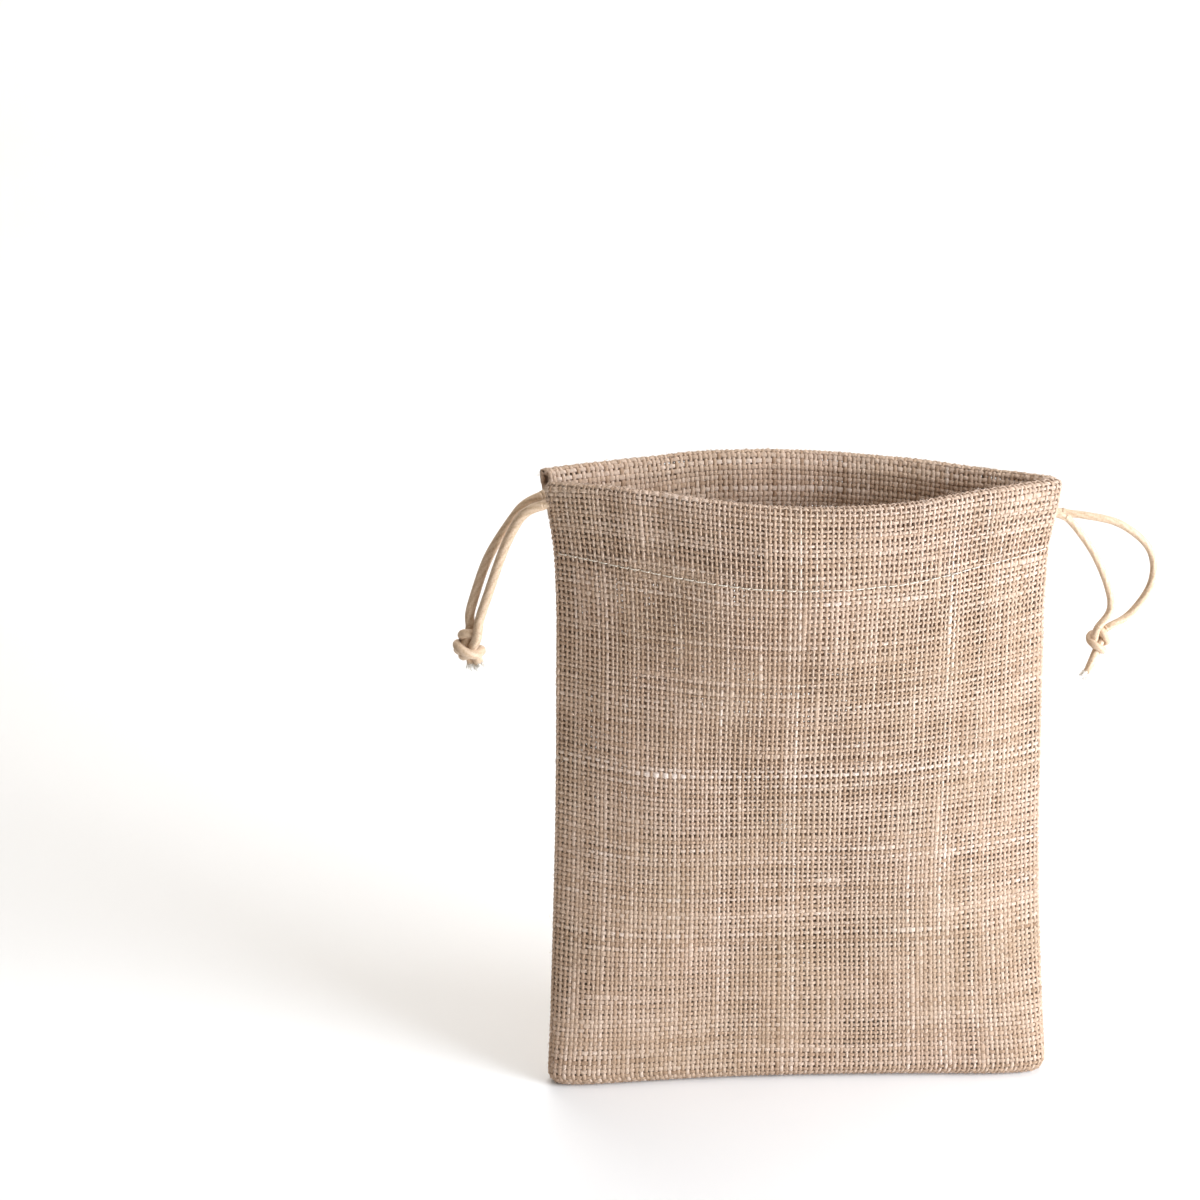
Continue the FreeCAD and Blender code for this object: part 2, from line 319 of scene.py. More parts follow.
def drawn_surface(side):
    """The same panel with both cords pulled: its mouth gathers into pleats on the cords."""
    z, out, folded = profile(LEVELS[:, None])
    u = np.linspace(-1, 1, 10 * COLUMNS)[None, :]
    gather = smooth((z - GATHERED_FROM) / (HEM + 4 - GATHERED_FROM))
    x = mix(half_width(z), HALF_MOUTH - PULL, gather ** 1.15) * u
    puffed = bow_depth(z, side) + 7 * hill(z, 0.5 * RIM, 60)
    depth = puffed * np.minimum(1, out)
    end = np.minimum(END, depth)
    depth = end + (depth - end) * lens(u, z)
    phase = u * math.pi * PLEATS + 0.9 * np.sin(3.1 * u + side) + 0.5 * np.sin(9 * u)
    uneven = (1 + 0.25 * np.sin(5 * u + 2 * side)) * (1 - 0.6 * u ** 8)
    height = PLEAT_DEPTH * gather ** 1.6 * uneven
    strung = (1 - smooth((np.abs(z - CORD_LEVEL) - 4.5) / 8)) * gather
    half_room = FOLD_ROUND * gather + (height + 1) * strung
    y = mix(depth, cord_lane(u), gather) + height * np.sin(phase)
    y = y + half_room * (1 - 2 * folded)
    least = mix(np.minimum(END, depth) + 4.2 * strung, np.minimum(NEAR, depth), folded)
    y = side * np.maximum(y, least) + foot_shift(x, z)
    return even_spacing(np.stack([x, y, np.broadcast_to(z, x.shape)], axis=2))


def grid_normals(points, side):
    """Unit normals on the cloth's face side."""
    across = np.gradient(points, axis=1)
    along = np.gradient(points, axis=0)
    return unit(np.cross(across, along) * -side)


def cubic_weights(t):
    """Catmull-Rom weights of the four grid points round a place."""
    return (
        (-1, ((2 - t) * t - 1) * t / 2),
        (0, ((3 * t - 5) * t * t + 2) / 2),
        (1, ((4 - 3 * t) * t + 1) * t / 2),
        (2, (t - 1) * t * t / 2),
    )


class Cloth:
    """One panel. Asked for any place on the cloth, it gives the point and the normal there.
    Places beyond the seams lie on the allowances, which are turned inside."""

    def __init__(self, side):
        self.side = side
        self.poses = []
        for points in (open_surface(side), drawn_surface(side)):
            self.poses.append((points, grid_normals(points, side)))

    def face(self, u, v, pose):
        column = np.clip((u / HALF_FLAT + 1) / 2 * (COLUMNS - 1), 0, COLUMNS - 1.001)
        row = np.clip(v / GRID_STEP, 0, len(LEVELS) - 1.001)
        first_column, first_row = column.astype(int), row.astype(int)
        beyond_column, beyond_row = (column - first_column)[..., None], (row - first_row)[..., None]
        found = [0, 0]
        for down, row_weight in cubic_weights(beyond_row):
            rows = np.clip(first_row + down, 0, len(LEVELS) - 1)
            for right, column_weight in cubic_weights(beyond_column):
                columns = np.clip(first_column + right, 0, COLUMNS - 1)
                for which, grid in enumerate(self.poses[pose]):
                    found[which] = found[which] + grid[rows, columns] * (row_weight * column_weight)
        return found[0], unit(found[1])

    def at(self, u, v, pose=OPEN):
        """Points and normals at u across and v up the cloth."""
        u, v = np.broadcast_arrays(np.asarray(u, float), np.asarray(v, float))
        points, normals = self.face(u, v, pose)
        return self.turned_side(u, v, pose, *self.turned_base(v, points, normals))

    def laid(self, u, v, lift):
        """Points lifted off the cloth, and the normals there, in both poses."""
        shapes = []
        for pose in (OPEN, DRAWN):
            points, normals = self.at(u, v, pose)
            shapes.append((points + normals * lift[..., None], normals))
        return shapes

    def turned_base(self, v, points, normals):
        """Below the base seam the cloth turns up inside."""
        run = np.maximum(0, -v)[..., None]
        angle = np.minimum(run / TURN, math.pi / 2)
        inward, down = np.array([0.0, -self.side, 0.0]), np.array([0.0, 0.0, -1.0])
        straight = np.maximum(0, run - TURN * math.pi / 2)
        moved = points + inward * TURN * np.sin(angle) - down * (TURN * (1 - np.cos(angle)) + straight)
        turned = down * np.cos(angle) + inward * np.sin(angle)
        return np.where(run > 0, moved, points), np.where(run > 0, turned, normals)

    def turned_side(self, u, v, pose, points, normals):
        """Beyond a side seam the cloth folds back inside: flat against the other panel's
        allowance below the casing, and against its own face within it."""
        run = np.maximum(0, np.abs(u) - HALF_FLAT)[..., None]
        if not np.any(run > 0):
            return points, normals
        ends = np.sign(u)
        before, _ = self.face(ends * (HALF_FLAT - 1), v, pose)
        edge, edge_normal = self.face(ends * HALF_FLAT, v, pose)
        own = smooth((edge[..., 2:] - (HEM - 12)) / 10)
        flat = np.stack([ends, 0 * ends, 0 * ends], axis=-1)
        outward = unit(mix(flat, unit(edge - before), own))
        normal = mix(np.array([0.0, self.side, 0.0]), edge_normal, own)
        normal = unit(normal - outward * (normal * outward).sum(-1, keepdims=True))
        angle = np.minimum(run / TURN, math.pi)
        straight = np.maximum(0, run - SEAM_FOLD)
        moved = edge + outward * (TURN * np.sin(angle) - straight) - normal * TURN * (1 - np.cos(angle))
        turned = normal * np.cos(angle) + outward * np.sin(angle)
        return np.where(run > 0, moved, points), np.where(run > 0, turned, normals)


# ---- Meshes ----
def tube_points(centres, normals, wide, thick, sides):
    """Rings of points round each centre line. Arrays are lines x rings (x 3)."""
    tangents = unit(np.gradient(centres, axis=1))
    across = unit(np.cross(tangents, normals))
    outward = np.cross(across, tangents)
    angle = np.linspace(0, 2 * math.pi, sides, endpoint=False)
    ring = centres[:, :, None, :]
    ring = ring + outward[:, :, None, :] * (np.sin(angle)[:, None] * thick[:, :, None, None])
    return ring + across[:, :, None, :] * (np.cos(angle)[:, None] * wide[:, :, None, None])


class Tubes:
    """Tubes gathered into one mesh, in their open and, if they have one, drawn shape."""

    def __init__(self):
        self.points = ([], [])
        self.quads, self.caps, self.values = [], [], []
        self.count = 0

    def add(self, shapes, wide, thick, sides=6, tone=0.5, along=None):
        """shapes holds (centres, normals) for each pose, as lines x rings x 3."""
        lines, rings = shapes[0][0].shape[:2]
        wide = np.broadcast_to(wide, (lines, rings))
        thick = np.broadcast_to(thick, (lines, rings))
        for place, (centres, normals) in zip(self.points, shapes):
            place.append(tube_points(centres, normals, wide, thick, sides).reshape(-1, 3))
        number = np.arange(lines * rings * sides).reshape(lines, rings, sides) + self.count
        turned = np.roll(number, -1, axis=2)
        quads = np.stack([number[:, :-1], turned[:, :-1], turned[:, 1:], number[:, 1:]], axis=-1)
        self.quads.append(quads.reshape(-1, 4))
        self.caps += [number[:, 0, ::-1], number[:, -1, :]]
        if along is None:
            steps = np.linalg.norm(np.diff(shapes[0][0], axis=1), axis=2)
            along = np.concatenate([np.zeros((lines, 1)), np.cumsum(steps, axis=1)], axis=1)
        rows = [np.broadcast_to(tone, (lines, rings)), along]
        full = [np.repeat(row[:, :, None], sides, axis=2) for row in rows]
        full.append(np.broadcast_to(np.arange(sides) / sides, full[0].shape))
        self.values.append(np.stack(full, axis=-1).reshape(-1, 3))
        self.count += lines * rings * sides
        return self

    def build(self, name):
        values = np.concatenate(self.values)
        labels = {"tone": values[:, 0], "along": values[:, 1], "around": values[:, 2]}
        drawn = np.concatenate(self.points[DRAWN]) if self.points[DRAWN] else None
        opened = np.concatenate(self.points[OPEN])
        return make_mesh(name, opened, np.concatenate(self.quads), self.caps, labels, drawn)


def make_mesh(name, points, quads, caps=(), values=None, drawn=None):
    """A smooth mesh object from points in millimetres, quads and end caps."""
    mesh = bpy.data.meshes.new(name)
    loops = np.concatenate([quads.ravel()] + [np.asarray(group).ravel() for group in caps])
    sizes = np.concatenate([np.full(len(quads), 4)] + [np.full(len(g), g.shape[1]) for g in caps])
    starts = np.concatenate([[0], np.cumsum(sizes)[:-1]]).astype(np.int32)
    mesh.vertices.add(len(points))
    mesh.vertices.foreach_set("co", (points * MM).astype(np.float32).ravel())
    mesh.loops.add(len(loops))
    mesh.polygons.add(len(sizes))
    mesh.polygons.foreach_set("loop_start", starts)
    mesh.polygons.foreach_set("vertices", loops.astype(np.int32))
    mesh.update(calc_edges=True)
    mesh.polygons.foreach_set("use_smooth", np.ones(len(sizes), bool))
    for label, data in (values or {}).items():
        attribute = mesh.attributes.new(label, "FLOAT", "POINT")
        attribute.data.foreach_set("value", data.astype(np.float32))
    piece = bpy.data.objects.new(name, mesh)
    bpy.context.scene.collection.objects.link(piece)
    if drawn is not None:
        piece.shape_key_add(name="open")
        key = piece.shape_key_add(name="drawn")
        key.data.foreach_set("co", (drawn * MM).astype(np.float32).ravel())
        follow_pull(key)
    return piece


def follow_pull(key):
    """The drawn shape comes in as the left cord slides out to its limit."""
    driver = key.driver_add("value").driver
    driver.type = "SCRIPTED"
    slide = driver.variables.new()
    slide.name = "slide"
    slide.type = "TRANSFORMS"
    slide.targets[0].id = frame["bodies"]["left_draw"]
    slide.targets[0].transform_type = "LOC_X"
    slide.targets[0].transform_space = "WORLD_SPACE"
    driver.expression = f"min(1, max(0, slide * {-1 / (PULL * MM):.4f}))"


def dress(piece, body, material, slot, *nodes):
    """Gives a piece its material and the body it moves with, and hides the CAD nodes it stands for."""
    piece.data.materials.append(material)
    if body:
        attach(piece, body)
    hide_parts(*nodes)
    return piece


# ---- Lines ----
def line_through(points, step, rounds=30):
    """A line that passes the points smoothly, with a point every step."""
    points = np.asarray(points, float)
    padded = np.vstack([2 * points[0] - points[1], points, 2 * points[-1] - points[-2]])
    at = np.linspace(0, len(points) - 1, 24 * len(points), endpoint=False)
    whole = at.astype(int)
    line = sum(padded[whole + 1 + k] * weight[:, None] for k, weight in cubic_weights(at - whole))
    line = spaced_line(np.vstack([line, points[-1]]), step=step)
    for _ in range(rounds):
        line[1:-1] += 0.5 * ((line[:-2] + line[2:]) / 2 - line[1:-1])
    return spaced_line(line, step=step)


def spaced_line(line, step=None, count=None):
    length = np.concatenate([[0], np.cumsum(np.linalg.norm(np.diff(line, axis=0), axis=1))])
    count = count or max(3, int(round(length[-1] / step)) + 1)
    at = np.linspace(0, length[-1], count)
    return np.stack([np.interp(at, length, line[:, axis]) for axis in range(3)], axis=1)


def carried_normals(line, first=(0.0, 0.0, 1.0)):
    """Normals along a line that turn no more than the line makes them."""
    tangents = unit(np.gradient(line, axis=0))
    normals = np.empty_like(line)
    normal = np.array(first)
    for k, tangent in enumerate(tangents):
        normal = unit(normal - tangent * (normal @ tangent))
        normals[k] = normal
    return normals


# ---- Materials ----
def srgb(*levels):
    """A colour given as 0 to 255 levels, made linear."""
    return tuple((level / 255) ** 2.2 for level in levels) + (1.0,)


class Shader:
    """A few shortcuts for building a node material."""

    def __init__(self, name):
        self.material = bpy.data.materials.new(name)
        self.material.use_nodes = True
        self.tree = self.material.node_tree
        self.surface = self.tree.nodes["Principled BSDF"]

    def node(self, kind, **inputs):
        made = self.tree.nodes.new("ShaderNode" + kind)
        for key, value in inputs.items():
            made.inputs[key.replace("_", " ")].default_value = value
        return made

    def link(self, source, target):
        self.tree.links.new(source, target)

    def attribute(self, name):
        made = self.tree.nodes.new("ShaderNodeAttribute")
        made.attribute_name = name
        return made.outputs["Fac"]

    def noise(self, scale, detail=3.0):
        place = self.tree.nodes.new("ShaderNodeTexCoord").outputs["Object"]
        made = self.node("TexNoise", Scale=scale, Detail=detail)
        self.link(place, made.inputs["Vector"])
        return made.outputs["Fac"]

    def grain(self, turns, starts, share, scale, detail):
        """Fine noise, with a share of the ripple of twisted strands."""
        ripple = self.math("MULTIPLY", self.strands(turns, starts), share)
        return self.math("ADD", ripple, self.noise(scale, detail))

    def ramp(self, source, *stops):
        made = self.tree.nodes.new("ShaderNodeValToRGB")
        band = made.color_ramp
        while len(band.elements) < len(stops):
            band.elements.new(0.5)
        for element, (place, colour) in zip(band.elements, stops):
            element.position = place
            element.color = colour
        self.link(source, made.inputs["Fac"])
        return made.outputs["Color"]

    def math(self, operation, first, second):
        made = self.tree.nodes.new("ShaderNodeMath")
        made.operation = operation
        for socket, value in zip(made.inputs, (first, second)):
            self.feed(socket, value)
        return made.outputs[0]

    def feed(self, socket, value):
        if isinstance(value, (int, float, tuple)):
            socket.default_value = value
        else:
            self.link(value, socket)

    def blend(self, mode, factor, first, second):
        made = self.tree.nodes.new("ShaderNodeMix")
        made.data_type = "RGBA"
        made.blend_type = mode
        colours = [socket for socket in made.inputs if socket.type == "RGBA"]
        self.feed(made.inputs["Factor"], factor)
        self.feed(colours[0], first)
        self.feed(colours[1], second)
        return next(socket for socket in made.outputs if socket.type == "RGBA")

    def settle(self, **inputs):
        for key, value in inputs.items():
            self.feed(self.surface.inputs[key.replace("_", " ")], value)

    def bump(self, height, strength, distance):
        made = self.node("Bump", Strength=strength, Distance=distance)
        self.link(height, made.inputs["Height"])
        self.link(made.outputs["Normal"], self.surface.inputs["Normal"])

    def strands(self, turns, starts):
        """A ripple that winds round a yarn or cord like its twisted strands."""
        wind = self.math("MULTIPLY", self.attribute("along"), turns)
        wind = self.math("ADD", wind, self.math("MULTIPLY", self.attribute("around"), starts))
        return self.math("SINE", self.math("MULTIPLY", wind, 2 * math.pi), 0.0)


def jute_material():
    """Natural jute: straw to grey-brown yarns, fibre streaks, dark flecks and a soft sheen."""
    shader = Shader("jute_yarn")
    base = shader.ramp(
        shader.attribute("tone"),
        (0.0, srgb(152, 122, 97)),
        (0.4, srgb(187, 159, 135)),
        (0.7, srgb(207, 183, 163)),
        (1.0, srgb(229, 212, 198)),
    )
    fibre = shader.grain(0.45, 2.0, 0.2, 2600, 4.0)
    streak = shader.ramp(fibre, (0.2, (0.74, 0.72, 0.69, 1)), (0.75, (1.08, 1.07, 1.06, 1)))
    colour = shader.blend("MULTIPLY", 0.8, base, streak)
    dim, bright = (0.94, 0.93, 0.90, 1), (1.04, 1.03, 1.05, 1)
    cloud = shader.ramp(shader.noise(24, 2.0), (0.3, dim), (0.7, bright))
    colour = shader.blend("MULTIPLY", 1.0, colour, cloud)
    fleck = shader.ramp(shader.noise(620, 2.0), (0.70, (0, 0, 0, 1)), (0.78, (1, 1, 1, 1)))
    colour = shader.blend("MIX", shader.math("MULTIPLY", fleck, 0.3), colour, srgb(104, 78, 54))
    rough = shader.math("ADD", shader.math("MULTIPLY", shader.noise(900), 0.25), 0.62)
    shader.settle(Base_Color=colour, Roughness=rough, Specular_IOR_Level=0.25)
    shader.settle(Sheen_Weight=0.15, Sheen_Roughness=0.5)
    shader.bump(fibre, 0.4, 0.00025)
    return shader.material


def thread_material(name, light, dark):
    shader = Shader(name)
    grain = shader.grain(1.1, 1.0, 0.15, 1800, 3.0)
    colour = shader.ramp(grain, (0.3, dark), (0.7, light))
    shader.settle(Base_Color=colour, Roughness=0.7, Sheen_Weight=0.3)
    shader.bump(grain, 0.5, 0.0001)
    return shader.material


def cord_material():
    """Waxed cotton cord: light tan, with fine strands wound round it."""
    shader = Shader("waxed_cotton_cord")
    grain = shader.grain(0.16, 5.0, 0.12, 1500, 4.0)
    colour = shader.ramp(
        grain,
        (0.15, srgb(176, 145, 114)),
        (0.5, srgb(203, 174, 144)),
        (0.9, srgb(222, 197, 170)),
    )
    shader.settle(Base_Color=colour, Roughness=0.55, Sheen_Weight=0.2)
    shader.bump(grain, 0.4, 0.0002)
    return shader.material


JUTE = jute_material()
HEM_THREAD = thread_material("hem_thread_cream", srgb(238, 228, 212), srgb(204, 188, 166))
SEAM_THREAD = thread_material("seam_thread_natural", srgb(222, 204, 176), srgb(190, 166, 134))
CORD_SKIN = cord_material()
CORD_FIBRE = thread_material("frayed_cotton", srgb(252, 250, 245), srgb(236, 228, 214))


# ---- Woven cloth ----
WARP_HALF = 0.56            # half width of the yarns that run up the pouch
WEFT_HALF = 0.66            # and of those that run across
YARN_FLAT = 0.36            # half thickness
WARP_CRIMP = 0.31           # how far a yarn rises and dips at each crossing
WEFT_CRIMP = 0.41


class Weave:
    """Where the yarns cross in one patch of a panel, with the small faults of a rustic cloth."""

    def __init__(self, cloth, u_range, v_range, rng, fullness=1.0):
        self.cloth, self.rng = cloth, rng
        self.warps = max(3, int(round((u_range[1] - u_range[0]) / WARP_PITCH)))
        self.wefts = max(3, int(round((v_range[1] - v_range[0]) / WEFT_PITCH)))
        u = np.repeat(self.uneven(self.warps, u_range, 0.09)[:, None], self.wefts, axis=1)
        v = np.repeat(self.uneven(self.wefts, v_range, 0.10)[None, :], self.warps, axis=0)
        from_edge = np.minimum(u - u_range[0], u_range[1] - u)
        calm = np.clip(from_edge / 6.0, 0, 1)
        drift = soft_rows(rng, self.warps, self.wefts, self.wefts // 10)
        broad = soft_field(rng, self.warps, self.wefts, 7, 7)
        u = u + (drift * 0.14 + broad * 0.5) * calm
        drift = soft_rows(rng, self.wefts, self.warps, self.warps // 10).T
        v = v + drift * 0.20 + soft_field(rng, self.warps, self.wefts, 6, 9) * 0.6
        self.u, self.v = u, np.clip(v, *v_range)
        parity = (np.arange(self.warps)[:, None] + np.arange(self.wefts)[None, :]) % 2
        self.over = 1.0 - 2.0 * parity
        self.fat = fullness + 0.13 * (u / HALF_FLAT) ** 2 + 0.29 * smooth(1 - v / 150)
        self.fat -= 0.06 * smooth((v - face_level(HEM)) / 10)
        self.fat += 0.16 * soft_field(rng, self.warps, self.wefts, 9, 12)
        self.fat += 0.10 * soft_field(rng, self.warps, self.wefts, 26, 30)

    def uneven(self, count, bounds, spread):
        """Places from one bound to the other, not quite evenly spaced."""
        at = np.cumsum(1 + self.rng.normal(0, spread, count))
        return mix(bounds[0], bounds[1], (at - at[0]) / (at[-1] - at[0]))

    def lines(self, along_warp):
        """Cloth places down the middle of each yarn, with one place between crossings."""
        fields = (self.u, self.v, self.over, self.fat)
        if not along_warp:
            fields = (self.u.T, self.v.T, -self.over.T, self.fat.T)
        places = []
        for field in fields:
            line = np.zeros((field.shape[0], 2 * field.shape[1] - 1))
            line[:, ::2] = field
            line[:, 1::2] = (field[:, 1:] + field[:, :-1]) / 2
            places.append(line)
        return places

    def add_yarns(self, tubes, along_warp):
        """Lays the yarns of one direction, shared out between the given batches of tubes."""
        rng = self.rng
        u, v, over, fat = self.lines(along_warp)
        count, rings = u.shape
        fat = fat * (1 + rng.normal(0, 0.07, count))[:, None]
        fat = fat + 0.09 * soft_rows(rng, count, rings, rings // 8)
        lumps = np.zeros((count, rings))
        for line in np.flatnonzero(rng.random(count) < 0.4):
            centre, length = rng.integers(0, rings), rng.uniform(5, 14)
            lumps[line] += hill(np.arange(rings), centre, length) * rng.uniform(0.2, 0.8)
        fat = np.clip(fat + lumps, 0.72, 1.9)
        tone = 0.5 + 0.11 * rng.normal(0, 1, count)[:, None] + 0.12 * lumps
        tone = tone + 0.12 * soft_rows(rng, count, rings, rings // 10)
        half, crimp = (WARP_HALF, WARP_CRIMP) if along_warp else (WEFT_HALF, WEFT_CRIMP)
        shapes = self.cloth.laid(u, v, over * crimp)
        along = v if along_warp else u
        for batch, chosen in zip(tubes, np.array_split(np.arange(count), len(tubes))):
            some = [(points[chosen], normals[chosen]) for points, normals in shapes]
            wide, thick = half * fat[chosen], YARN_FLAT * np.sqrt(fat[chosen])
            batch.add(some, wide, thick, tone=tone[chosen], along=along[chosen])


def woven_panel(name, side, seed, fullness):
    """A panel's face and casing in four pieces, and its turned-in allowances in one."""
    cloth = Cloth(side)
    rng = np.random.default_rng(seed)
    half = HALF_FLAT + SEAM_FOLD
    weave = Weave(cloth, (-half, half), (-1.5, CLOTH_TOP), rng, fullness)
    for label, along_warp in (("warp", True), ("weft", False)):
        halves = (Tubes(), Tubes())
        weave.add_yarns(halves, along_warp)
        for part, batch in enumerate(halves):
            piece = batch.build(f"{name}_{label}_{part + 1}")
            dress(piece, "pouch", JUTE, "jute_cloth", f"{name}_panel")
    allowances = Tubes()
    edge, raw = half + 0.9, half + ALLOWANCE - 2
    base = HALF_FLAT - ALLOWANCE - 3
    up_the_side = (14.0, face_level(HEM) - 5)
    patches = (
        ((-raw, -edge), up_the_side),
        ((edge, raw), up_the_side),
        ((-base, base), (-ALLOWANCE, -2.6)),
    )
    for u_range, v_range in patches:
        patch = Weave(cloth, u_range, v_range, rng)
        patch.add_yarns([allowances], True)
        patch.add_yarns([allowances], False)
    dress(allowances.build(f"{name}_allowances"), "pouch", JUTE, "jute_cloth", f"{name}_panel")
    return cloth


front_cloth = woven_panel("front", FRONT, 5, 0.98)
back_cloth = woven_panel("back", BACK, 6, 1.46)


# ---- Stitching ----
STITCH = 4.3                # length of a stitch along the hem
PER_STITCH = 14             # points along it
THREAD = 0.22               # half the thickness of the sewing thread
OVERLOCK = 0.2              # and of the overlock thread


def hem_stitching(name, cloth):
    """Lockstitch along the foot of the casing: stitches lie on the cloth and dive at each hole.
    The needle thread shows outside and the bobbin thread inside."""
    rng = np.random.default_rng(7)
    run = np.arange(1 - HALF_FLAT, HALF_FLAT - 1, STITCH / PER_STITCH)
    share = run / HALF_FLAT
    z = HEM + 2.4 - 4.4 * (1 - share ** 2) + 0.4 * soft_noise(rng, len(run), 14)
    tubes = Tubes()
    for level, shift in ((face_level(z), 0.0), (inner_level(z), 0.5)):
        lift = np.minimum(1.05, 3.4 * np.abs(np.sin(math.pi * (run / STITCH + shift))) - 0.5)
        lift = lift + 0.12 * soft_noise(rng, len(run), len(run) // 9)
        tubes.add(cloth.laid(run[None], level[None], lift[None]), THREAD, THREAD)
    stitches = tubes.build(name + "_hem_stitches")
    dress(stitches, "pouch", HEM_THREAD, "hem_thread", name + "_hem_thread")


def seam_middle(u, v, pose):
    """Middle between the two panels' allowances, and the direction towards the seam."""
    front, _ = front_cloth.at(u, v, pose)
    back, _ = back_cloth.at(u, v, pose)
    outer, _ = front_cloth.at(np.sign(u) * (np.abs(u) - 1), v, pose)
    toward = outer - front
    toward[..., 1] = 0
    return (front + back) / 2, unit(toward)


def seam_shapes(u, v, swing, lift):
    """A thread at cloth places u, v, swinging through the seam and towards its edge."""
    shapes = []
    for pose in (OPEN, DRAWN):
        middle, toward = seam_middle(u, v, pose)
        through = np.array([0.0, 1.0, 0.0])
        line = middle + through * swing[:, None] + toward * lift[:, None]
        shapes.append((line[None], carried_normals(line, (0.0, 1.0, 0.2))[None]))
    return shapes


def seam_threads():
    """Straight stitches that hold the seams, and overlock loops round the raw edges."""
    thick = NEAR + 1.0
    seam_u = HALF_FLAT + SEAM_FOLD + 0.8
    raw_u = HALF_FLAT + SEAM_FOLD + ALLOWANCE - 4
    seam_v, raw_v = -2.2, 3.6 - ALLOWANCE
    up_the_side = (16.0, face_level(HEM) - 6)
    along_base = (ALLOWANCE + 4 - HALF_FLAT, HALF_FLAT - ALLOWANCE - 4)
    for name, end in (("left_side", LEFT), ("right_side", RIGHT), ("bottom", None)):
        span = up_the_side if end else along_base
        stitched, looped = np.arange(*span, 0.45), np.arange(*span, 0.26)
        swing = thick * np.sin(math.pi * stitched / 3.0)
        turn = 2 * math.pi * looped / 2.8
        through, over = (thick + 0.3) * np.cos(turn), 2.6 * np.sin(turn) - 0.6
        if end:
            seam = seam_shapes(end * seam_u, stitched, swing, 0 * swing)
            loops = seam_shapes(end * raw_u, looped, through, over)
        else:
            seam = seam_shapes(stitched, seam_v, swing, 0 * swing)
            loops = seam_shapes(looped, raw_v, through, over)
            for centres, _ in loops:
                centres[..., 2] += over + 2.0
                centres[..., 0] -= over
        thread = Tubes().add(seam, THREAD, THREAD, sides=5).build(name + "_seam_stitches")
        dress(thread, "pouch", SEAM_THREAD, "seam_thread", name + "_seam_thread")
        overlock = Tubes().add(loops, OVERLOCK, OVERLOCK, sides=5).build(name + "_overlock_loops")
        dress(overlock, "pouch", SEAM_THREAD, "seam_thread", name + "_overlock")


hem_stitching("front", front_cloth)
hem_stitching("back", back_cloth)
seam_threads()


# ---- Loose fibres ----
def fuzz(name, cloth, count, seed):
    """Short jute fibres that stand off the face, more of them along the rim and the sides."""
    rng = np.random.default_rng(seed)
    u = rng.uniform(-HALF_FLAT, HALF_FLAT, count)
    v = rng.uniform(UNDER + ARC + 2, FACE_TOP + FOLD_ARC, count)
    rim = rng.random(count) < 0.16
    v[rim] = FACE_TOP + rng.uniform(0, FOLD_ARC, rim.sum())
    side = rng.random(count) < 0.10
    u[side] = np.sign(u[side]) * (HALF_FLAT + rng.uniform(-2, 2, side.sum()))
    heading = rng.uniform(0, 2 * math.pi, count)
    length = rng.gamma(3.0, 0.8, count) + 1.0
    rise = rng.uniform(0.25, 1.0, count)
    bend = rng.normal(0, 0.9, count)
    t = np.linspace(0, 1, 5)[None, :]
    turned = heading[:, None] + bend[:, None] * t
    du = length[:, None] * t * np.cos(turned)
    dv = length[:, None] * t * np.sin(turned)
    arch = np.sin(t * math.pi * rng.uniform(0.4, 0.9, (count, 1)))
    lift = 0.3 + 0.45 * rise[:, None] * length[:, None] * arch
    laid = cloth.laid(u[:, None] + du, v[:, None] + dv, lift)
    shapes = [(line, normals + 0.3) for line, normals in laid]
    thin = np.broadcast_to(0.055 * (1.15 - t), (count, 5))
    tubes = Tubes().add(shapes, thin, thin, sides=3, tone=rng.uniform(0.5, 1.0, (count, 1)))
    dress(tubes.build(name), "pouch", JUTE, "jute_cloth")


fuzz("front_fibres", front_cloth, 2600, 31)
fuzz("back_fibres", back_cloth, 2000, 32)


# ---- Drawcords ----
KNOT_CORD = 1.4             # radius of the cord that the knot is tied in
KNOT_SPAN = (-6.5, 7.5)     # from its foot to its head
SQUEEZED = 0.84             # cords in a knot press into each other


def casing_lane(cloth, z, pose):
    """Middle of a casing at height z, from its left end to its right end."""
    u = np.linspace(-HALF_FLAT + 1.5, HALF_FLAT - 1.5, 70)
    if pose == OPEN:
        outer, _ = cloth.at(u, face_level(z), pose)
        inner, _ = cloth.at(u, inner_level(z), pose)
        lane = (outer + inner) / 2
        lane[:, 2] = z + (lane[:, 2] - z) * 0.5
        return lane
    share = u / HALF_FLAT
    return np.stack([share * (HALF_MOUTH - PULL), cloth.side * cord_lane(share), z + 0 * u], axis=1)


def run_line(end, strands, pose):
    """One cord's loop from its front strand's start, through both casings, to its back strand."""
    z = FLEX[end][2]
    halves = []
    for cloth, strand in zip((front_cloth, back_cloth), strands):
        lane = casing_lane(cloth, z, pose)[::-end]
        if pose == DRAWN:
            lane[:, 0] -= end * PULL
        halves.append(np.vstack([strand[1], strand[0], lane]))
    far = (halves[0][-1] + halves[1][-1]) / 2
    reach = abs(halves[0][-1][1] - halves[1][-1][1]) / 2
    angle = np.linspace(-1.2, 1.2, 7)
    out = far[0] + end * (2.2 - 1.4 * np.cos(angle))
    turn = np.stack([out, far[1] + reach * np.sin(angle), far[2] + 0 * angle], axis=1)
    line = line_through(np.vstack([halves[0], turn, halves[1][::-1]]), 0.5, 12)
    first = np.linalg.norm(line - strands[0][0], axis=1)[:60].argmin()
    last = np.linalg.norm(line - strands[1][0], axis=1)[-60:].argmin() - 60
    return spaced_line(line[first:last + 1], count=300)


